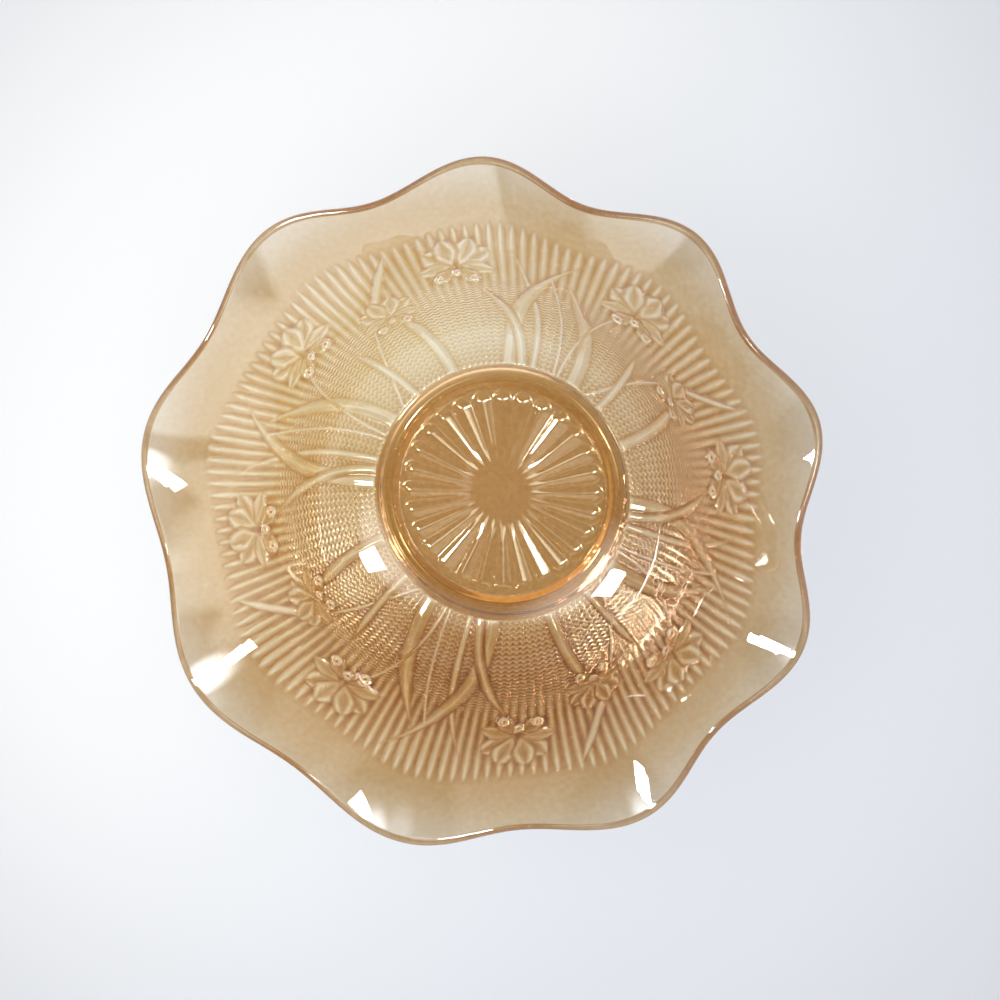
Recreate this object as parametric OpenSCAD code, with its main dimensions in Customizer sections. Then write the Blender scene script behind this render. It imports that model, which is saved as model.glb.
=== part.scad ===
// Ruffled glass dish: one pressed piece of glass on a low foot ring, with its flared rim
// crimped into lobes, and a fired lustre film over its upper face and its outer wall.
// Millimetres. +Z is up. The origin is on the resting plane, under the centre of the foot.

/* [Bowl] */
// Outermost radius of the rim, averaged around the ruffle
rim_r = 118; // [110:0.5:146]
// Radius of the flat floor inside the bowl
floor_r = 36; // [34:0.5:38]
// Height of the floor's upper face above the resting plane
floor_h = 9; // [8:0.1:12]
// Radius of the curve between the floor and the wall
heel_r = 44; // [40:1:55]
// Steepest slope of the wall, in degrees from level
wall_slope = 55; // [45:1:62]
// Slope of the flared rim, in degrees from level
rim_slope = 27; // [15:1:38]

/* [Ruffle] */
// Number of lobes crimped into the rim
lobes = 9; // [6:1:12]
// How far a lobe stands out from the mean rim, and a valley stands in
ruffle_depth = 4.75; // [0:0.25:7]
// How far a lobe drops below the mean rim, and a valley rises above it
ruffle_rise = 3; // [0:0.25:6]
// Where the crimping begins, as a share of the way from the centre to the rim
ruffle_start = 0.62; // [0.55:0.01:0.8]
// How quickly the ruffle grows towards the rim
ruffle_growth = 1.7; // [1:0.1:3]
// Direction of the first lobe, in degrees
ruffle_angle = 13.2; // [0:0.1:40]
// Uneven spacing of the lobes, from crimping by hand, in degrees
ruffle_drift = 5.6; // [0:0.1:8]
// Direction of the side with the closest lobes, in degrees
ruffle_drift_angle = 130; // [0:1:360]

/* [Glass] */
// Thickness of the base
base_t = 5.4; // [4:0.1:6]
// Thickness of the wall
wall_t = 4.8; // [3.5:0.1:6]
// Thickness of the rim
rim_t = 3.6; // [2.5:0.1:5]
// Drawn thickness of the lustre film
film_t = 0.1; // [0.1:0.05:0.2]

/* [Foot] */
// Radius where the foot ring meets the wall
foot_r = 48.4; // [47.6:0.1:52]
// Outer radius of the ring's resting face
rest_outer_r = 46.6; // [45.5:0.1:46.8]
// Inner radius of the ring's resting face
rest_inner_r = 42.6; // [41.8:0.1:44]
// Inner radius of the ring where it meets the base
recess_r = 40.2; // [39.5:0.1:41]

/* [Hidden] */

DEG = 180 / PI;
around = 10 * lobes;        // sides of every ring of points
floor_steps = 2;            // rings from the centre to the edge of the floor
heel_steps = 7;             // rings over the curve from floor to wall
flare_steps = 10;           // rings over the flared part of the wall
lip_steps = 5;              // rings round the rim's edge
foot_clear = 0.6;           // bare strip between the foot ring and the outer film
bottom_round = 0.7;         // rounding at both edges of the resting face

// The upper face seen in section is a level line, an arc that turns up and an arc that flares out.
wall_r = floor_r + heel_r * sin(wall_slope);
wall_h = floor_h + heel_r * (1 - cos(wall_slope));
lip_r = rim_r - rim_t / 2 * cos(rim_slope);
flare_r = (lip_r - wall_r) / (sin(wall_slope) - sin(rim_slope));
heel_len = heel_r * wall_slope / DEG;
flare_len = flare_r * (wall_slope - rim_slope) / DEG;
flare_start = floor_r + heel_len;
wall_end = flare_start + flare_len;

// The outer film starts where the under face of the wall has cleared the foot ring.
outer_start = floor_r + heel_r / DEG
    * asin((foot_r + foot_clear - floor_r) / (heel_r + base_t));

// [radius, height, slope] of the upper face at a distance a along the section
function on_floor(a) = [a, floor_h, 0];
function on_heel(p) = [floor_r + heel_r * sin(p), floor_h + heel_r * (1 - cos(p)), p];
function on_flare(p) = [
    wall_r + flare_r * (sin(wall_slope) - sin(p)),
    wall_h + flare_r * (cos(p) - cos(wall_slope)),
    p
];
function section(a) =
    a <= floor_r ? on_floor(a)
    : a <= flare_start ? on_heel((a - floor_r) / heel_r * DEG)
    : on_flare(wall_slope - (a - flare_start) / flare_r * DEG);

// 1 at the middle of a lobe and -1 at the bottom of a valley
function ruffle(angle) =
    cos(lobes * (angle - ruffle_angle + ruffle_drift * cos(angle - ruffle_drift_angle)));

// Share of the full ruffle at a distance a along the section
function crimp(a) = pow(max(0, a / wall_end - ruffle_start) / (1 - ruffle_start), ruffle_growth);

// Thickness of the glass at a distance a along the section
function thickness(a) =
    a <= floor_r ? base_t
    : a <= flare_start ? base_t + (wall_t - base_t) * (a - floor_r) / heel_len
    : wall_t + (rim_t - wall_t) * min(1, (a - flare_start) / flare_len);

// A point at height h above the upper face, measured square to the section
function place(a, h, angle) =
    let (s = section(a))
    let (c = crimp(a) * ruffle(angle))
    let (r = s[0] + ruffle_depth * c - h * sin(s[2]))
    [r * cos(angle), r * sin(angle), s[1] - ruffle_rise * c + h * cos(s[2])];

// Distances along the section at which the rings of points lie, from the floor to the rim
function stations() = [
    for (i = [1 : floor_steps]) floor_r * i / floor_steps,
    for (i = [1 : heel_steps]) floor_r + heel_len * i / heel_steps,
    for (i = [1 : flare_steps]) flare_start + flare_len * i / flare_steps
];
function stations_from(first) = [first, for (a = stations()) if (a > first + 1) a];
function backwards(list) = [for (i = [len(list) - 1 : -1 : 0]) list[i]];

// A closed skin through rings of points. Each row is [distance, height above the upper face].
// The first half of the rows runs outwards and the second half back, and every band is split
// along the same diagonal both ways, so that faces a film's thickness apart never cross.
// With poles, the first and last rows are single points on the axis; otherwise the last ring
// joins the first.
module skin(rows, poles) {
    rings = poles ? [for (i = [1 : len(rows) - 2]) rows[i]] : rows;
    count = len(rings);
    ring_points = [
        for (row = rings) for (k = [0 : around - 1]) place(row[0], row[1], 360 * k / around)
    ];
    top = rows[0];
    bottom = rows[len(rows) - 1];
    pole_points = poles ? [place(0, top[1], 0), place(0, bottom[1], 0)] : [];
    bands = poles ? count - 1 : count;
    sides = [
        for (i = [0 : bands - 1]) for (k = [0 : around - 1])
            let (m = (k + 1) % around, a = i * around, b = ((i + 1) % count) * around)
            each i < count / 2 - 1 ? [[a + k, a + m, b + m], [a + k, b + m, b + k]]
                : [[a + k, a + m, b + k], [a + m, b + m, b + k]]
    ];
    caps = poles ? [
        for (k = [0 : around - 1])
            let (m = (k + 1) % around, last = (count - 1) * around, axis = count * around)
            each [[axis, m, k], [axis + 1, last + k, last + m]]
    ] : [];
    polyhedron(points = concat(ring_points, pole_points), faces = concat(sides, caps));
}

// The pressed bowl: floor, wall and rounded rim in one piece
module bowl() {
    up = stations();
    lip = [
        for (i = [1 : lip_steps - 1])
            let (t = rim_t / 2, turn = 180 * i / lip_steps)
            [wall_end + t * sin(turn), t * (cos(turn) - 1)]
    ];
    rows = concat(
        [[0, 0]],
        [for (a = up) [a, 0]],
        lip,
        [for (a = backwards(up)) [a, -thickness(a)]],
        [[0, -base_t]]
    );
    skin(rows, true);
}

// The foot ring, run up into the glass above it
module foot_ring() {
    rooted_h = floor_h - base_t / 2;
    rotate_extrude($fn = 180)
        polygon([
            [recess_r - 1, rooted_h],
            [rest_inner_r - bottom_round, bottom_round],
            [rest_inner_r, 0],
            [rest_outer_r, 0],
            [rest_outer_r + bottom_round, bottom_round],
            [foot_r, rooted_h]
        ]);
}

module glass_body() {
    color([0.86, 0.74, 0.52, 0.6]) {
        bowl();
        foot_ring();
    }
}

// Lustre fired on the upper face, from the centre of the floor to the rim
module inner_lustre() {
    up = stations();
    rows = concat(
        [[0, film_t]],
        [for (a = up) [a, film_t]],
        [for (a = backwards(up)) [a, 0]],
        [[0, 0]]
    );
    color([0.80, 0.62, 0.34, 0.5]) skin(rows, true);
}

// Lustre fired on the outside of the wall, from the foot ring to the rim
module outer_lustre() {
    up = stations_from(outer_start);
    rows = concat(
        [for (a = up) [a, -thickness(a)]],
        [for (a = backwards(up)) [a, -thickness(a) - film_t]]
    );
    color([0.72, 0.54, 0.30, 0.5]) skin(rows, false);
}

glass_body();
inner_lustre();
outer_lustre();
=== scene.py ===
"""Looks of the ruffled glass dish: one closed glass mesh with its moulded relief, and its fired lustre.

The dish is worked out in millimetres, as in the part's source, and written to the mesh in metres.
A point of the glass is found from three numbers: its distance a along the section from the middle
of the floor, its angle round the axis, and its height h above the upper face.
"""

import math

import bpy
import numpy as np
from mathutils import Matrix, Vector


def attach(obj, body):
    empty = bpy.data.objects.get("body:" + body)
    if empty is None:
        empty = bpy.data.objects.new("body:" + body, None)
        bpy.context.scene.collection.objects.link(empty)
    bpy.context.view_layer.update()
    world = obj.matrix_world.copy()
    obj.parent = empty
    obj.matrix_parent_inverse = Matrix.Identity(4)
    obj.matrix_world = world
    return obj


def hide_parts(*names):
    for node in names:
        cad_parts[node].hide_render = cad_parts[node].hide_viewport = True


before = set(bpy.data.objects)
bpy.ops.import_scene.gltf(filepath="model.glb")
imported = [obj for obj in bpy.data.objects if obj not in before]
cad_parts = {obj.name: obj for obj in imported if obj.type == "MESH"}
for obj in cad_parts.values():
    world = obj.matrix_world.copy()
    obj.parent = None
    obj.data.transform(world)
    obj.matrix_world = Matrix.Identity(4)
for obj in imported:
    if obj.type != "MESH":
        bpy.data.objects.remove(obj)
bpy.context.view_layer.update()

MM = 0.001
DEG = 180 / math.pi

# ---------------------------------------------------------------- the dish, as in the part's source

RIM_R = 118.0          # outermost radius, averaged round the ruffle
FLOOR_R = 36.0         # the flat floor inside the bowl
FLOOR_H = 9.0          # height of its upper face
HEEL_R = 44.0          # curve between the floor and the wall
WALL_SLOPE = 55.0      # steepest slope of the wall
RIM_SLOPE = 27.0       # slope of the flared rim
LOBES = 9
RUFFLE_DEPTH = 4.75    # a lobe stands out from the mean rim by this much
RUFFLE_RISE = 3.0      # and drops below it by this much
RUFFLE_START = 0.62    # share of the way to the rim at which the crimping begins
RUFFLE_GROWTH = 1.7
RUFFLE_ANGLE = 13.2
RUFFLE_DRIFT = 5.6     # uneven spacing of the lobes, from crimping by hand
RUFFLE_DRIFT_ANGLE = 130.0
BASE_T = 5.4
WALL_T = 4.8
RIM_T = 3.6
REST_OUTER_R = 46.6    # the ring's resting face
REST_INNER_R = 42.6
RECESS_R = 40.2        # where the ring meets the base inside

BOTTOM_ROUND = 1.6     # rounding of the resting face's edges, larger than in the part's source
BASE_EDGE = RECESS_R - 1.6    # edge of the flat under face of the base

WALL_R = FLOOR_R + HEEL_R * math.sin(WALL_SLOPE / DEG)
LIP_R = RIM_R - RIM_T / 2 * math.cos(RIM_SLOPE / DEG)
FLARE_R = (LIP_R - WALL_R) / (math.sin(WALL_SLOPE / DEG) - math.sin(RIM_SLOPE / DEG))
HEEL_LEN = HEEL_R * WALL_SLOPE / DEG
FLARE_LEN = FLARE_R * (WALL_SLOPE - RIM_SLOPE) / DEG
FLARE_START = FLOOR_R + HEEL_LEN
WALL_END = FLARE_START + FLARE_LEN

# ---------------------------------------------------------------- the relief under the glass

SECTORS = 4            # the relief repeats four times round the dish
SECTOR_ANGLE = 29.5    # direction of the first small bloom
RIBS = 144
RELIEF_START = 47.3    # distance along the section at which the wall leaves the foot ring
RELIEF_END = 117.0     # tips of the ribs
ROW_NEAR = 1.9         # spacing of the zigzag rows beside the foot
ROW_FAR = 1.35         # and where they die out
ROW_DEPTH = 0.30       # height of a row
ZIGZAG = 0.46          # swing of a zigzag, in rows
RIB_DEPTH = 0.50       # height of a rib
FLUTES = 28            # scoops of the sunburst under the base
FLUTE_DEPTH = 1.0
POLISH = 0.03          # height of the waves in the fire-polished upper face

# ---------------------------------------------------------------- fineness of the mesh

FINE = 1008            # points round a ring of the relief: a multiple of 4 sectors and 144 ribs
MEDIUM = FINE // 2     # points round every other ring
FLOOR_RINGS = 20
WALL_STEP = 1.2        # spacing of the rings of the upper face, in millimetres
LIP_STEPS = 12         # steps round the rim's edge
RIM_RINGS = 18
FOOT_STEP = 0.8
BASE_STEP = 0.5        # spacing under the base, where the flutes are
HUB_STEP = 1.5         # and in its plain middle
HUB_R = 12.0


def smooth(x, lo, hi):
    """0 below lo, 1 above hi, and a smooth step between."""
    t = np.clip((x - lo) / (hi - lo), 0, 1)
    return t * t * (3 - 2 * t)


def section(a):
    """Radius, height and slope in radians of the upper face at the distance a from the centre."""
    a = np.asarray(a, float)
    heel = np.clip((a - FLOOR_R) / HEEL_R, 0, WALL_SLOPE / DEG)
    flare = WALL_SLOPE / DEG - np.maximum(a - FLARE_START, 0) / FLARE_R
    radius = np.minimum(a, FLOOR_R) + HEEL_R * np.sin(heel)
    height = FLOOR_H + HEEL_R * (1 - np.cos(heel))
    radius = radius + FLARE_R * (math.sin(WALL_SLOPE / DEG) - np.sin(flare))
    height = height + FLARE_R * (np.cos(flare) - math.cos(WALL_SLOPE / DEG))
    return radius, height, np.where(a > FLARE_START, flare, heel)


def thickness(a):
    heel = np.clip((a - FLOOR_R) / HEEL_LEN, 0, 1)
    flare = np.clip((a - FLARE_START) / FLARE_LEN, 0, 1)
    return BASE_T + (WALL_T - BASE_T) * heel + (RIM_T - WALL_T) * flare


def ruffle(angle):
    """1 at the middle of a lobe and -1 at the bottom of a valley; angles are in degrees."""
    drift = RUFFLE_DRIFT * np.cos((angle - RUFFLE_DRIFT_ANGLE) / DEG)
    return np.cos(LOBES * (angle - RUFFLE_ANGLE + drift) / DEG)


def crimp(a):
    """Share of the full ruffle at the distance a."""
    start = np.maximum(a / WALL_END - RUFFLE_START, 0)
    return (start / (1 - RUFFLE_START)) ** RUFFLE_GROWTH


def place(a, h, angle):
    """Points at height h above the upper face, as an array of x, y and z in millimetres."""
    r, z, slope = section(a)
    c = crimp(np.asarray(a, float)) * ruffle(angle)
    r = r + RUFFLE_DEPTH * c - h * np.sin(slope)
    z = z - RUFFLE_RISE * c + h * np.cos(slope)
    r, z, angle = np.broadcast_arrays(r, z, angle)
    return np.stack([r * np.cos(angle / DEG), r * np.sin(angle / DEG), z], -1)


# ---------------------------------------------------------------- drawing the relief


def across(delta, centre, a):
    """Distance in millimetres round the dish from the angle centre to delta, at the distance a."""
    turn = (delta - centre + 45) % 90 - 45
    return section(a)[0] * turn / DEG


def lay(ground, height, mask):
    """The ground with a raised shape laid over it."""
    return ground * (1 - mask) + height * mask


def leaf(field, delta, a, start, end, width, bow=1.6, rise=0.8, taper=0.55, blunt=0.0):
    """A sword leaf from start to end, each (angle, distance), with rounded edges and a keel."""
    t = np.clip((a - start[1]) / (end[1] - start[1]), 0, 1)
    centre = start[0] + (end[0] - start[0]) * t**bow
    lean = (end[0] - start[0]) * bow * np.maximum(t, 1e-3) ** (bow - 1) / (end[1] - start[1])
    lean = section(a)[0] * lean / DEG
    side = across(delta, centre, a) / np.sqrt(1 + lean**2)
    full = blunt + (1 - blunt) * (1 - smooth(t, taper, 1.0))
    half = width / 2 * full + 1e-6
    edge = half - np.abs(side)
    keel = 0.16 * np.exp(-np.abs(side) / 0.6)
    top = rise * (0.3 + 0.7 * full) * (1 - np.exp(-np.maximum(edge, 0) / 0.8)) + keel
    inside = (a > start[1]) & (a < end[1])
    return lay(field, top, smooth(edge, -0.3, 0.7) * inside)


def stem(field, delta, a, start, end, width=1.5, bow=1.4, rise=0.7):
    """A round stalk."""
    t = np.clip((a - start[1]) / (end[1] - start[1]), 0, 1)
    centre = start[0] + (end[0] - start[0]) * t**bow
    u = np.clip(np.abs(across(delta, centre, a)) / (width / 2), 0, 1)
    inside = (a > start[1]) & (a < end[1])
    return lay(field, rise * np.sqrt(1 - u**2), smooth(1 - u, 0, 0.3) * inside)


def petal(field, x, y, root, heading, length, width, rise, full, folds):
    """A cupped petal with a rolled edge and folds, growing from root in the direction heading."""
    c, s = math.cos(heading / DEG), math.sin(heading / DEG)
    along = ((x - root[0]) * c + (y - root[1]) * s) / length
    side = -(x - root[0]) * s + (y - root[1]) * c
    t = np.clip(along, 0, 1)
    wave = 1 + 0.06 * np.sin(11 * t + heading)
    half = width / 2 * np.sin(math.pi * t**full) ** 0.6 * wave + 1e-6
    u = np.clip(np.abs(side) / half, 0, 1)
    edge = half - np.abs(side)
    roll = 1 - np.exp(-np.maximum(edge, 0) / 0.9)
    cup = 0.72 + 0.28 * u**2 - 0.22 * np.exp(-((side / 0.55) ** 2)) * smooth(t, 0.05, 0.4)
    fold = 0.12 * np.cos(folds * math.pi * u + 2 * t) * smooth(t, 0.15, 0.6)
    mask = smooth(edge, -0.2, 0.7) * (along > 0) * (along < 1)
    return lay(field, rise * roll * (cup + fold), mask)


def curl(field, x, y, middle, radius, rise):
    """The rolled tip of a petal: a ring with a hollow in it."""
    d = np.hypot(x - middle[0], y - middle[1]) / radius
    ring = rise * np.sqrt(np.clip(1 - ((d - 0.62) / 0.42) ** 2, 0, 1)) + 0.25 * (d < 0.62)
    return lay(field, ring, smooth(1.04 - d, 0, 0.12))


# Petals of the bloom: root, direction, length, width, height, fullness and folds. Lengths are in
# millimetres and directions in degrees, with 90 towards the rim.
STANDING = [
    ((-2.0, 1.0), 142, 13.0, 9.5, 0.90, 1.3, 3),
    ((2.0, 1.0), 38, 13.0, 9.5, 0.90, 1.3, 3),
    ((-1.2, 0.5), 108, 14.0, 10.0, 1.10, 1.5, 3),
    ((1.2, 0.5), 72, 14.0, 10.0, 1.05, 1.5, 3),
]
FALLING = [
    ((-1.5, 0.8), 190, 13.0, 6.5, 1.05, 1.1, 2),
    ((1.5, 0.8), -10, 13.0, 6.5, 1.05, 1.1, 2),
    ((-0.8, -0.2), 228, 11.0, 7.0, 1.20, 1.3, 2),
    ((0.8, -0.2), -48, 11.0, 7.0, 1.20, 1.3, 2),
]
CURLS = [((-6.2, -6.4), 2.3, 1.35), ((6.2, -6.6), 2.3, 1.35), ((0.0, -3.4), 2.0, 1.45)]


def bloom(field, delta, a, centre, distance, size, turn):
    """An open flower: four petals stand up towards the rim, and four fall and curl towards the foot."""
    x = across(delta, centre, a) / size
    y = (a - distance) / size
    c, s = math.cos(turn / DEG), math.sin(turn / DEG)
    x, y = x * c + y * s, -x * s + y * c
    for shape in STANDING + FALLING:
        field = petal(field, x, y, *shape)
    for middle, radius, rise in CURLS:
        field = curl(field, x, y, middle, radius, rise)
    return field


def ground_texture(angle, a):
    """Zigzag rows beside the foot that turn into radial ribs with pointed ends."""
    turn = (angle * RIBS / 360) % 1
    fold = np.cos(2 * math.pi * turn)
    off = np.abs(2 * turn - 1)
    steps = np.linspace(RELIEF_START, RELIEF_END, 700)
    spacing = ROW_NEAR + (ROW_FAR - ROW_NEAR) * smooth(steps, RELIEF_START, 90)
    count = np.interp(a, steps, np.concatenate([[0], np.cumsum(np.diff(steps) / spacing[1:])]))
    row = (count + ZIGZAG / 2 * fold) % 1
    ridge = ROW_DEPTH * (1 + 0.4 * smooth(a, 50, 75)) * (1 - np.abs(2 * row - 1) ** 1.3)
    ridge = ridge * (1 - smooth(a, 80, 94))
    rib = RIB_DEPTH * (1 - off**1.2) * (0.2 + 0.8 * smooth(a, 74, 92))
    tip = (np.clip(RELIEF_END - a, 0, None) / 6.0) ** 0.7
    point = smooth(tip - off, -0.1, 0.7)
    return (ridge + rib) * point


def relief(angle, a):
    """Height of the relief out of the wall's outer face, for angles in degrees and distances a."""
    delta = angle - SECTOR_ANGLE
    field = ground_texture(angle, a)
    foot = RELIEF_START + 0.3
    field = leaf(field, delta, a, (-43.5, foot), (-33, 113), 3.4, bow=2.2)
    field = leaf(field, delta, a, (27.5, foot), (44, 104), 6.4, bow=1.5, taper=0.5)
    field = leaf(field, delta, a, (-33.5, foot), (-57, 116), 6.6, bow=1.9, taper=0.45)
    field = leaf(field, delta, a, (-38.5, foot), (-20, 96), 4.6, bow=1.7, taper=0.5)
    field = leaf(field, delta, a, (3.0, 88), (-9.5, 117), 4.0, bow=0.9)
    field = leaf(field, delta, a, (-7.5, foot), (-1.5, 80), 5.4, bow=1.6, taper=0.7, blunt=0.3)
    field = stem(field, delta, a, (21, foot), (6, 80), 1.6, bow=0.7)
    field = stem(field, delta, a, (35, foot), (23, 98), 1.5, bow=1.6)
    field = stem(field, delta, a, (37, foot), (44.5, 96), 1.4, bow=1.3)
    field = leaf(field, delta, a, (12, foot), (16.5, 84), 3.8, bow=1.3)
    field = bloom(field, delta, a, -22, 97, 0.98, 8)
    field = bloom(field, delta, a, 22, 97, 0.98, -8)
    field = bloom(field, delta, a, 0, 82, 0.78, 4)
    return field * smooth(a, RELIEF_START, RELIEF_START + 0.5)


def sunburst(angle, r):
    """Depth of the flutes cut into the under face of the base: scoops that meet in sharp edges."""
    step = 360 / FLUTES
    off = np.abs((angle + step / 2) % step - step / 2) / DEG
    half = math.tan(step / 2 / DEG)
    end = (BASE_EDGE - 0.1) / (1 + half)
    wide = np.maximum(np.minimum(r, end) * half, 1e-6)
    d = np.where(r < end, r * off, np.hypot(r - end, r * off))
    scoop = np.clip(1 - (d / wide) ** 1.3, 0, 1)
    return FLUTE_DEPTH * np.minimum(r / end, 1) * scoop * smooth(r, 7, 19)


# ---------------------------------------------------------------- the mesh


def polished(angle, a):
    """The slight waves of a fire-polished face."""
    r = section(a)[0]
    x, y = r * np.cos(angle / DEG), r * np.sin(angle / DEG)
    short = np.sin(x / 9.1 + 0.7) * np.cos(y / 7.7)
    long = np.sin((x + y) / 12.3 + 2.1) * np.cos((x - y) / 10.9)
    return POLISH * (short + long)


def rounded(points, radius, steps):
    """A line of points with its inner corners rounded."""
    points = [np.array(p, float) for p in points]
    line = [points[0]]
    for before, corner, after in zip(points, points[1:], points[2:]):
        one = corner + (before - corner) * min(0.5, radius / np.linalg.norm(before - corner))
        two = corner + (after - corner) * min(0.5, radius / np.linalg.norm(after - corner))
        for t in np.linspace(0, 1, steps):
            line.append((1 - t) ** 2 * one + 2 * t * (1 - t) * corner + t**2 * two)
    return line + [points[-1]]


def ring_angles(count):
    """Angles of the points round a ring."""
    return np.arange(count) * 360.0 / count


def blurred(field, size_a, size_angle):
    """The field averaged over a square of rows and a wrapped stretch of angle, twice over."""
    for _ in range(2):
        padded = np.pad(field, ((size_a, size_a), (0, 0)), mode="edge")
        field = np.mean([padded[i : i + len(field)] for i in range(2 * size_a + 1)], axis=0)
        field = np.mean([np.roll(field, i, axis=1) for i in range(-size_angle, size_angle + 1)], axis=0)
    return field


def lustre(points, hollow):
    """How heavily the tint lies: an exponent for each colour of the tint. It changes towards +X, and it is
    paler towards +Y and deeper towards -Y as painted light and shade on the walls. It is deeper in the
    hollows of the relief and over the foot ring as painted shade, and paler on the relief's raised parts
    as painted light."""
    radius = np.maximum(np.hypot(points[:, 0], points[:, 1]), 1e-6)
    x, y = points[:, 0] / radius, points[:, 1] / radius
    spread = smooth(radius, 38, 60) * (1 - smooth(radius, 74, 114))
    weight = [1 + spread * (right * x + back * y) for right, back in zip(WEIGHT_RIGHT, PAINTED_LIGHT_BACK)]
    return np.stack(weight, -1) * np.clip(1 + HOLLOW_PAINTED_SHADE * hollow, 0.3, 3.0)[:, None]


# Each of the next functions gives rings of points. The upper face and the relief also give a depth for
# each point, which deepens the tint as painted shade: in the hollows of the relief, and over the foot ring
# on the upper face. On the relief's raised parts the depth is below nought, and it pales the tint as
# painted light.


def upper_rings():
    """The upper face from the centre to the rim. Over the foot ring its tint is heavier, as painted shade.
    """
    angle = ring_angles(MEDIUM)
    floor = np.linspace(HUB_STEP, FLOOR_R, FLOOR_RINGS)
    wall = np.arange(FLOOR_R + WALL_STEP, WALL_END, WALL_STEP)
    rings = []
    for a in np.concatenate([floor, wall, [WALL_END]]):
        # painted shade: a deeper tint over the foot ring
        foot_painted_shade = FOOT_PAINTED_SHADE * smooth(a, 38, 40.5) * (1 - smooth(a, 46.5, 48))
        rings.append((place(a, polished(angle, a), angle), np.full(MEDIUM, foot_painted_shade)))
    return rings


def lip_rings():
    """The rim's rounded edge."""
    angle = ring_angles(MEDIUM)
    rings = []
    for turn in np.arange(1, LIP_STEPS) * math.pi / LIP_STEPS:
        a = WALL_END + RIM_T / 2 * math.sin(turn)
        h = RIM_T / 2 * (math.cos(turn) - 1)
        rings.append(place(a, h + polished(angle, WALL_END) * (1 + math.cos(turn)) / 2, angle))
    return rings


def rim_rings():
    """The plain under face of the flared rim, from the edge in to the tips of the ribs."""
    angle = ring_angles(MEDIUM)
    rows = np.linspace(WALL_END, RELIEF_END + 0.8, RIM_RINGS)
    return [place(a, -thickness(a), angle) for a in rows]


def relief_rings():
    """The moulded under face of the wall, from the tips of the ribs in to the foot."""
    near = np.arange(RELIEF_START, 92, 0.34)
    far = np.arange(92, RELIEF_END + 0.4, 0.55)
    rows = np.concatenate([near, far])
    sector = ring_angles(FINE)[: FINE // SECTORS]
    raised = relief(sector[None, :], rows[:, None])
    raised = np.tile(raised, (1, SECTORS))
    # depth of each point below its surroundings: it deepens the tint in hollows as painted shade and pales
    # it on raised parts as painted light
    hollow = blurred(raised, 3, 4) - raised
    angle = ring_angles(FINE)
    return [
        (place(a, -thickness(a) - up, angle), deep) for a, up, deep in zip(rows, raised, hollow)
    ][::-1]


def foot_rings():
    """The foot ring, from the wall in to the recess."""
    base_h = FLOOR_H - BASE_T
    wall_r, wall_h, slope = section(RELIEF_START)
    t = thickness(RELIEF_START)
    wall = (float(wall_r + t * math.sin(slope)), float(wall_h - t * math.cos(slope)))
    line = rounded(
        [
            wall,
            (wall[0] - 0.5, wall[1] - 0.3),
            (REST_OUTER_R, 0),
            (REST_INNER_R + 0.7, 0),
            (RECESS_R - 1.0, base_h),
            (BASE_EDGE, base_h),
        ],
        BOTTOM_ROUND, 7,
    )[1:]
    angle = ring_angles(MEDIUM) / DEG
    rings = []
    for one, two in zip(line, line[1:]):
        steps = max(1, int(np.linalg.norm(two - one) / FOOT_STEP))
        for t in np.arange(steps) / steps:
            r, z = one + (two - one) * t
            rings.append(np.stack([r * np.cos(angle), r * np.sin(angle), np.full_like(angle, z)], -1))
    return rings


def base_rings():
    """The under face of the base, with the sunburst, from the recess's edge in to the centre."""
    angle = ring_angles(MEDIUM)
    rings = []
    outer = np.arange(BASE_EDGE, HUB_R, -BASE_STEP)
    for r in np.concatenate([outer, np.arange(HUB_R, 1.4, -HUB_STEP)]):
        z = FLOOR_H - BASE_T + sunburst(angle, r)
        rings.append(np.stack([r * np.cos(angle / DEG), r * np.sin(angle / DEG), z], -1))
    return rings


def stitch(one, first, two, second):
    """Faces between two rings: their point counts and first points. One ring may be twice as fine."""
    if one == two:
        k = np.arange(one)
        m = (k + 1) % one
        return [np.stack([first + k, second + k, second + m, first + m], -1)]
    coarse, c0, f0, flip = (two, second, first, False) if one > two else (one, first, second, True)
    k = np.arange(coarse)
    m = (k + 1) % coarse
    a, b = c0 + k, c0 + m
    f = [f0 + 2 * k, f0 + 2 * k + 1, f0 + (2 * k + 2) % (2 * coarse)]
    faces = [(f[0], a, f[1]), (f[1], a, b), (f[1], b, f[2])]
    if flip:
        faces = [(x, z, y) for x, y, z in faces]
    return [np.stack(face, -1) for face in faces]


def even(rings):
    """The rings, with no painted shade or light from hollows."""
    return [(ring, np.zeros(len(ring))) for ring in rings]


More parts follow.
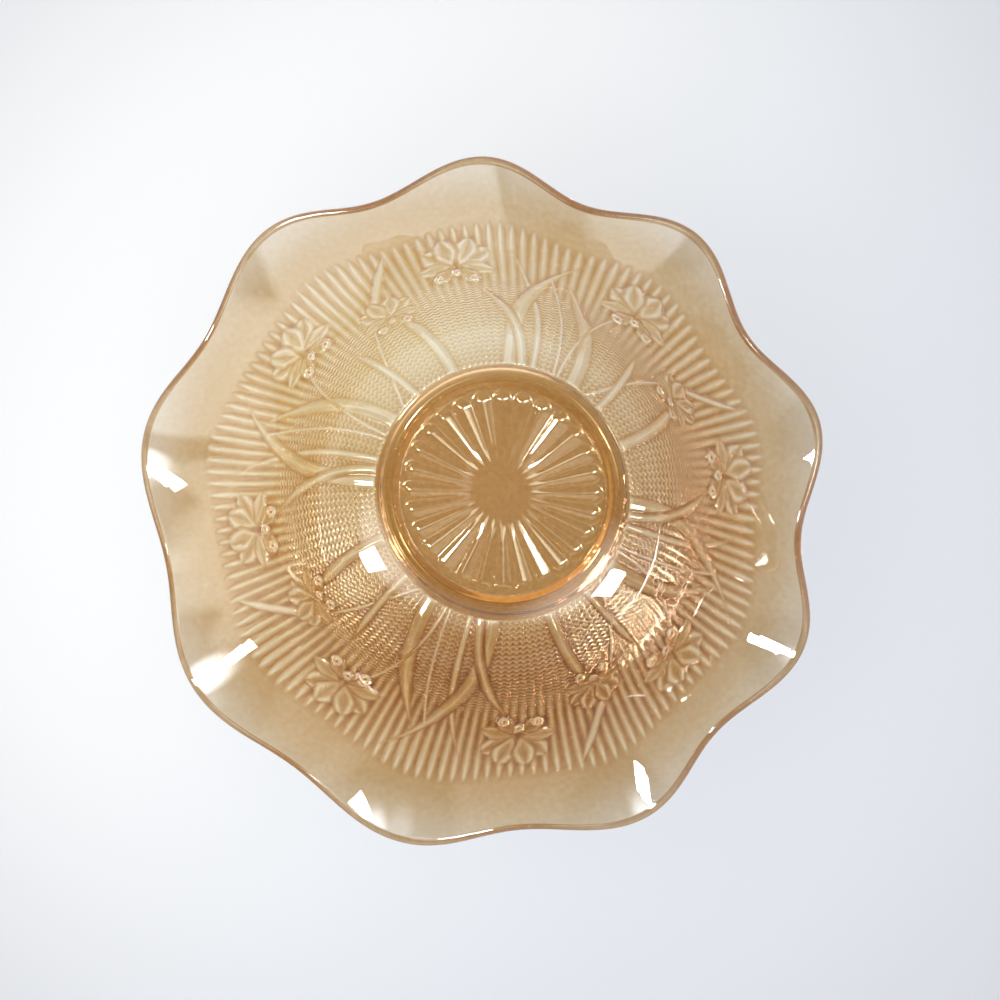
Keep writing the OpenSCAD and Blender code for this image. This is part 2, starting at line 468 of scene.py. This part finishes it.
def dish_mesh():
    """One closed mesh: the rings in order, joined each to the next, with a point at each end."""
    parts = [
        (upper_rings(), INSIDE),
        (even(lip_rings()), LIP),
        (even(rim_rings()), OUTSIDE),
        (relief_rings(), OUTSIDE),
        (even(foot_rings()), BARE),
        (even(base_rings()), BARE),
    ]
    rings = [ring for part, _ in parts for ring, _ in part]
    hollows = [hollow for part, _ in parts for _, hollow in part]
    ring_slots = [slot for part, slot in parts for _ in part]
    firsts = np.concatenate([[0], np.cumsum([len(ring) for ring in rings])])
    quads, tris, quad_slots, tri_slots = [], [], [], []
    for i in range(len(rings) - 1):
        slot = ring_slots[i + 1]
        for face in stitch(len(rings[i]), firsts[i], len(rings[i + 1]), firsts[i + 1]):
            (quads if face.shape[1] == 4 else tris).append(face)
            (quad_slots if face.shape[1] == 4 else tri_slots).append(np.full(len(face), slot))
    top, bottom = firsts[-1], firsts[-1] + 1
    k = np.arange(MEDIUM)
    m = (k + 1) % MEDIUM
    last = firsts[-2]
    tris.append(np.stack([np.full(MEDIUM, top), k, m], -1))
    tris.append(np.stack([np.full(MEDIUM, bottom), last + m, last + k], -1))
    tri_slots += [np.full(MEDIUM, INSIDE), np.full(MEDIUM, BARE)]
    poles = np.array([[0, 0, FLOOR_H], [0, 0, FLOOR_H - BASE_T]])
    points = np.concatenate(rings + [poles]) * MM
    quads, tris = np.concatenate(quads), np.concatenate(tris)
    mesh = bpy.data.meshes.new("glass_dish")
    mesh.vertices.add(len(points))
    mesh.vertices.foreach_set("co", points.astype(np.float32).ravel())
    corners = np.concatenate([quads.ravel(), tris.ravel()])
    mesh.loops.add(len(corners))
    mesh.loops.foreach_set("vertex_index", corners.astype(np.int32))
    starts = np.concatenate([np.arange(len(quads)) * 4, len(quads) * 4 + np.arange(len(tris)) * 3])
    mesh.polygons.add(len(starts))
    mesh.polygons.foreach_set("loop_start", starts.astype(np.int32))
    slots = np.concatenate(quad_slots + tri_slots)
    mesh.polygons.foreach_set("material_index", slots.astype(np.int32))
    mesh.polygons.foreach_set("use_smooth", np.ones(len(starts), bool))
    mesh.update(calc_edges=True)
    # the tint's weight for each point, which holds painted light and painted shade
    weight = lustre(points / MM, np.concatenate(hollows + [np.zeros(len(poles))]))
    attribute = mesh.attributes.new("lustre", "FLOAT_VECTOR", "POINT")
    attribute.data.foreach_set("vector", weight.astype(np.float32).ravel())
    mesh.validate()
    return mesh


# ---------------------------------------------------------------- materials

# Tint of one pass through the glass and its two films, by radius in millimetres.
TINTS = [
    (0, (0.64, 0.33, 0.10)),
    (44, (0.56, 0.29, 0.08)),
    (50, (0.69, 0.43, 0.17)),
    (72, (0.56, 0.30, 0.09)),
    (98, (0.67, 0.43, 0.19)),
    (107, (0.67, 0.46, 0.23)),
    (112, (0.70, 0.52, 0.31)),
    (120, (0.76, 0.63, 0.46)),
]
# Each material's name, the thickness of its film at -X and at +X in nanometres, the film's
# refractive index, and the face's share of the tint.
FILMS = [
    ("lustre_inside", (8, 8), 1.8, 0.2),
    ("lustre_outside", (50, 38), 2.2, 0.8),
    ("pressed_glass", (44, 44), 2.2, 0.8),
    ("lustre_lip", (14, 14), 1.9, 1.3),
]
INSIDE, OUTSIDE, BARE, LIP = range(len(FILMS))
GLASS_IOR = 1.52
CLOUD = 0.04           # unevenness of a film's thickness, as a share of it
CLOUD_SCALE = 22.0
MOTTLE = 0.25          # unevenness of the tint's weight
MOTTLE_SCALE = 500.0
WEIGHT_RIGHT = (0.18, 0.14, 0.05)       # change of the weight towards +X, for red, green and blue
PAINTED_LIGHT_BACK = (-0.70, -0.66, -0.60)     # and towards +Y, paler there as painted light and deeper towards -Y as painted shade
FOOT_PAINTED_SHADE = 0.35      # painted shade over the foot ring, as a depth in millimetres
HOLLOW_PAINTED_SHADE = 3.2           # added weight for each millimetre of depth: painted shade in hollows, painted light on raised parts
THROUGH = 0.93         # share of the light falling on the floor that each face lets through
CAUGHT_AFTER = 6.5     # light thrown about oftener than this comes out of the glass
CAUGHT = (0.72, 0.50, 0.40)            # and takes this tint at each face


def feed(tree, value, socket):
    """Give a socket a number, a colour, or the output of another node."""
    if isinstance(value, bpy.types.NodeSocket):
        tree.links.new(value, socket)
    else:
        socket.default_value = value


def math_node(tree, operation, *values):
    node = tree.nodes.new("ShaderNodeMath")
    node.operation = operation
    for socket, value in zip(node.inputs, values):
        feed(tree, value, socket)
    return node.outputs["Value"]


def vector_node(tree, operation, *values):
    node = tree.nodes.new("ShaderNodeVectorMath")
    node.operation = operation
    sockets = [node.inputs[0], node.inputs["Scale"]] if operation == "SCALE" else node.inputs
    for socket, value in zip(sockets, values):
        feed(tree, value, socket)
    return node.outputs["Value" if operation in ("LENGTH", "DOT_PRODUCT") else "Vector"]


def ranged(tree, value, start, end, low=0.0, high=1.0, soft=False):
    """A value moved from the range start..end to the range low..high, with soft ends or straight."""
    node = tree.nodes.new("ShaderNodeMapRange")
    node.interpolation_type = "SMOOTHSTEP" if soft else "LINEAR"
    numbers = (("Value", value), ("From Min", start), ("From Max", end), ("To Min", low), ("To Max", high))
    for name, number in numbers:
        feed(tree, number, node.inputs[name])
    return node.outputs["Result"]


def mixed(tree, share, one, two):
    """A colour between two others; share is the share of the second."""
    node = tree.nodes.new("ShaderNodeMix")
    node.data_type = "RGBA"
    for name, value in (("Factor", share), ("A", one), ("B", two)):
        feed(tree, value, node.inputs[name])
    return node.outputs["Result"]


def noise(tree, where, scale, detail=2.0):
    node = tree.nodes.new("ShaderNodeTexNoise")
    node.inputs["Scale"].default_value = scale
    node.inputs["Detail"].default_value = detail
    feed(tree, where, node.inputs["Vector"])
    return node.outputs["Fac"]


def tint_nodes(tree, where, strength):
    """The tint of one face: by radius, to the power of the weight that holds painted light and shade, and
    mottled.
    """
    radius = vector_node(tree, "LENGTH", vector_node(tree, "MULTIPLY", where, (1, 1, 0)))
    ramp = tree.nodes.new("ShaderNodeValToRGB")
    stops = ramp.color_ramp.elements
    stops.remove(stops[1])
    outermost = TINTS[-1][0]
    for i, (reach, tint) in enumerate(TINTS):
        stop = stops[0] if i == 0 else stops.new(reach / outermost)
        # A face shows the square root of its colour, so the colour is squared.
        stop.color = (*[t ** (2 * strength) for t in tint], 1)
    feed(tree, ranged(tree, radius, 0.0, outermost * MM), ramp.inputs["Fac"])
    weight = tree.nodes.new("ShaderNodeAttribute")
    weight.attribute_name = "lustre"
    grain = noise(tree, where, MOTTLE_SCALE, 3.0)
    mottle = ranged(tree, grain, 0.0, 1.0, 1 - MOTTLE, 1 + MOTTLE)
    mottled = vector_node(tree, "SCALE", weight.outputs["Vector"], mottle)
    return vector_node(tree, "POWER", ramp.outputs["Color"], mottled)


def film_nodes(tree, where, film):
    """The film's thickness: it changes towards +X, and it is uneven."""
    split = tree.nodes.new("ShaderNodeSeparateXYZ")
    feed(tree, where, split.inputs[0])
    side = ranged(tree, split.outputs["X"], -RIM_R * MM, RIM_R * MM, *film)
    uneven = math_node(tree, "MULTIPLY_ADD", noise(tree, where, CLOUD_SCALE), 2 * CLOUD * sum(film), side)
    return math_node(tree, "ADD", uneven, -CLOUD * sum(film))


def glass(name, film, film_ior, strength):
    """Clear glass under a film; strength is the share of the dish's tint that this face holds."""
    material = bpy.data.materials.new(name)
    material.use_nodes = True
    tree = material.node_tree
    nodes = tree.nodes
    nodes.clear()
    where = nodes.new("ShaderNodeTexCoord").outputs["Object"]
    shader = nodes.new("ShaderNodeBsdfPrincipled")
    shader.inputs["Transmission Weight"].default_value = 1.0
    shader.inputs["IOR"].default_value = GLASS_IOR
    shader.inputs["Roughness"].default_value = 0.0
    shader.inputs["Thin Film IOR"].default_value = film_ior
    feed(tree, tint_nodes(tree, where, strength), shader.inputs["Base Color"])
    feed(tree, film_nodes(tree, where, film), shader.inputs["Thin Film Thickness"])
    # Light on its way to the floor, or from it, goes straight through. So does light that has been
    # thrown to and fro inside the glass: it comes out brown.
    path = nodes.new("ShaderNodeLightPath").outputs
    floor_light = math_node(tree, "MAXIMUM", path["Is Shadow Ray"], path["Is Diffuse Ray"])
    caught = math_node(tree, "GREATER_THAN", path["Ray Depth"], CAUGHT_AFTER)
    clear = nodes.new("ShaderNodeBsdfTransparent")
    colour = mixed(tree, floor_light, (*CAUGHT, 1), (THROUGH, THROUGH, THROUGH, 1))
    feed(tree, colour, clear.inputs["Color"])
    choose = nodes.new("ShaderNodeMixShader")
    feed(tree, math_node(tree, "MAXIMUM", floor_light, caught), choose.inputs["Fac"])
    feed(tree, shader.outputs["BSDF"], choose.inputs[1])
    feed(tree, clear.outputs["BSDF"], choose.inputs[2])
    output = nodes.new("ShaderNodeOutputMaterial")
    feed(tree, choose.outputs["Shader"], output.inputs["Surface"])
    return material


PAPER = (0.95, 0.95, 0.945)
PAPER_PAINTED_SHADE = (0.775, 0.795, 0.835)     # painted shade, darker and cooler towards +X and -Y
# painted shade: the paper's colour far from the dish
PAPER_FAR_PAINTED_SHADE = (0.64, 0.65, 0.68)
PAINTED_SHADE_WAY = (0.85, -0.52, 0)
PAINTED_SHADE_FROM, PAINTED_SHADE_TO = -0.16, 0.14       # where the painted shade begins and where it is full, in metres
FAR_FROM, FAR_TO = 0.15, 0.37          # and the painted shade far off, from the middle of the dish
FLOOR_SIDE = 3.0       # half the floor's width
FLOOR_GAP = 0.0003     # between the floor and the foot ring


def paper(name):
    """Pale paper with painted shade: a little darker and cooler towards one side, and dark far off."""
    material = bpy.data.materials.new(name)
    material.use_nodes = True
    tree = material.node_tree
    shader = tree.nodes["Principled BSDF"]
    shader.inputs["Roughness"].default_value = 0.8
    shader.inputs["Specular IOR Level"].default_value = 0.1
    where = tree.nodes.new("ShaderNodeTexCoord").outputs["Object"]
    along = vector_node(tree, "DOT_PRODUCT", where, PAINTED_SHADE_WAY)
    painted_shade_share = ranged(tree, along, PAINTED_SHADE_FROM, PAINTED_SHADE_TO, soft=True)
    far = ranged(tree, vector_node(tree, "LENGTH", where), FAR_FROM, FAR_TO, soft=True)
    near = mixed(tree, painted_shade_share, (*PAPER, 1), (*PAPER_PAINTED_SHADE, 1))
    feed(tree, mixed(tree, far, near, (*PAPER_FAR_PAINTED_SHADE, 1)), shader.inputs["Base Color"])
    return material


# ---------------------------------------------------------------- the scene


def make_dish():
    """The dish, in the place of all three CAD solids."""
    mesh = dish_mesh()
    for film in FILMS:
        mesh.materials.append(glass(*film))
    dish = bpy.data.objects.new("glass_dish", mesh)
    bpy.context.scene.collection.objects.link(dish)
    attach(dish, "root")
    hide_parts("glass_body", "inner_lustre", "outer_lustre")


def make_floor():
    """A flat sheet of paper under the dish."""
    mesh = bpy.data.meshes.new("floor")
    corners = [(-1, -1), (1, -1), (1, 1), (-1, 1)]
    mesh.from_pydata([(x * FLOOR_SIDE, y * FLOOR_SIDE, 0) for x, y in corners], [], [(0, 1, 2, 3)])
    mesh.materials.append(paper("floor_paper"))
    floor = bpy.data.objects.new("floor", mesh)
    floor.location.z = -FLOOR_GAP
    bpy.context.scene.collection.objects.link(floor)


DAYLIGHT = (0.98, 1.0, 1.02)       # colour of everything pale round the dish
ROOF = 0.16                        # brightness of the ceiling
WALL = 0.40                        # added brightness of the walls
WALL_TOP = 29.5                    # angle up to which the walls are seen from the dish
WALL_SOFT = 3.5                    # angle over which they fade, each way
# Each of these is a direction, a height, the angles at which it begins and ends to fade, and a
# brightness.
WINDOW = (-15.0, 0.0, 25.0, 72.0, 0.85)   # a bright stretch of wall
SCREEN = (-78.0, 28.0, 33.0, 43.0, 1.15)  # a tall screen
DOOR = (5.0, 38.0, 7.0, 15.0, 0.9)        # a bright doorway
CLOTHS = [                                # cloths lit from behind, high up
    (24.0, 65.0, 5.0, 18.0, 5.0),
    (155.0, 62.0, 5.0, 17.0, 4.0),
    (90.0, 70.0, 4.0, 18.0, 1.0),
]
CLOTH_LIGHT = 0.1                  # share of the cloths that rays thrown off the floor see
GLOW = (0.20, 0.14, 0.095)         # added where light leaves the glass for the room
# Each lamp's name, azimuth, elevation, distance and size in metres, brightness, and whether it is seen.
LAMPS = [
    ("lamp_right", 25, 55, 2.4, (0.34, 0.74), 28, True),
    ("lamp_left", 158, 45, 2.4, (0.32, 0.60), 130, True),
    ("soft_overhead", 195, 68, 1.5, (1.6, 1.6), 1.70, False),
]
LENS = 89.3                        # of the camera, in millimetres
LEAN_X, LEAN_Y = 9.0, 7.2          # how far it leans from straight above, in degrees
AIM = (3.9, 0.8, 35)               # the point it looks at, in millimetres
EYE_DISTANCE = 0.9                 # from that point, in metres
BOUNCES = 16
CLAMP = 40                         # brightest light that one path may bring


def direction(turn, up):
    """The unit vector at an azimuth and an elevation in degrees."""
    turn, up = turn / DEG, up / DEG
    return Vector((math.cos(turn) * math.cos(up), math.sin(turn) * math.cos(up), math.sin(up)))


def make_world():
    """A room with a dark ceiling, pale walls, a tall bright screen and some lit cloths."""
    world = bpy.data.worlds.new("room")
    bpy.context.scene.world = world
    world.use_nodes = True
    tree = world.node_tree
    nodes = tree.nodes
    nodes.clear()
    where = nodes.new("ShaderNodeTexCoord").outputs["Generated"]

    def cosine(angle):
        return math.cos(angle / DEG)

    def patch(turn, up, inner, outer, level):
        nearness = vector_node(tree, "DOT_PRODUCT", where, direction(turn, up))
        shape = ranged(tree, nearness, cosine(outer), cosine(inner), soft=True)
        return math_node(tree, "MULTIPLY", shape, level)

    height = vector_node(tree, "DOT_PRODUCT", where, direction(0, 90))
    low, high = cosine(90 + WALL_SOFT - WALL_TOP), cosine(90 - WALL_SOFT - WALL_TOP)
    below_top = math_node(tree, "SUBTRACT", 1.0, ranged(tree, height, low, high, soft=True))
    wall = math_node(tree, "MULTIPLY", math_node(tree, "ADD", patch(*WINDOW), WALL), below_top)
    light = math_node(tree, "ADD", math_node(tree, "MAXIMUM", wall, patch(*SCREEN)), ROOF)
    light = math_node(tree, "ADD", light, patch(*DOOR))
    path = nodes.new("ShaderNodeLightPath").outputs
    share = math_node(tree, "MULTIPLY_ADD", path["Is Diffuse Ray"], CLOTH_LIGHT - 1, 1.0)
    for cloth in CLOTHS:
        light = math_node(tree, "MULTIPLY_ADD", patch(*cloth), share, light)

    both = nodes.new("ShaderNodeAddShader")
    strengths = (light, path["Is Transmission Ray"])
    for socket, colour, strength in zip(both.inputs, (DAYLIGHT, GLOW), strengths):
        background = nodes.new("ShaderNodeBackground")
        background.inputs["Color"].default_value = (*colour, 1)
        feed(tree, strength, background.inputs["Strength"])
        feed(tree, background.outputs["Background"], socket)
    output = nodes.new("ShaderNodeOutputWorld")
    feed(tree, both.outputs["Shader"], output.inputs["Surface"])


def make_light(name, azimuth, elevation, distance, size, glow, seen):
    """A rectangular lamp aimed at the dish; glow is the brightness of its face. A lamp that is seen
    shows in the glass, and one that isn't lights the floor."""
    light = bpy.data.lights.new(name, "AREA")
    light.shape = "RECTANGLE"
    light.size, light.size_y = size
    light.energy = glow * math.pi * size[0] * size[1]
    lamp = bpy.data.objects.new(name, light)
    lamp.location = direction(azimuth, elevation) * distance
    lamp.rotation_euler = (-lamp.location).to_track_quat("-Z", "Y").to_euler()
    lamp.visible_camera = False
    lamp.visible_diffuse = not seen
    lamp.visible_glossy = seen
    lamp.visible_transmission = seen
    bpy.context.scene.collection.objects.link(lamp)


def make_camera():
    """Looks down on the dish from a little to the right of it and beyond it."""
    camera = bpy.data.cameras.new("camera")
    camera.sensor_width = 36
    camera.lens = LENS
    back = Vector((math.tan(LEAN_X / DEG), math.tan(LEAN_Y / DEG), 1)).normalized()
    eye = bpy.data.objects.new("camera", camera)
    across_view = Vector((0, 1, 0)).cross(back).normalized()
    up_view = back.cross(across_view)
    eye.matrix_world = Matrix((across_view, up_view, back)).transposed().to_4x4()
    eye.location = Vector(AIM) * MM + back * EYE_DISTANCE
    bpy.context.scene.collection.objects.link(eye)
    bpy.context.scene.camera = eye


make_camera()
make_dish()
make_floor()
make_world()
for lamp in LAMPS:
    make_light(*lamp)

scene = bpy.context.scene
scene.view_settings.view_transform = "Standard"
scene.cycles.sample_clamp_indirect = CLAMP
scene.cycles.max_bounces = BOUNCES
scene.cycles.glossy_bounces = BOUNCES
scene.cycles.transmission_bounces = BOUNCES
scene.cycles.transparent_max_bounces = BOUNCES
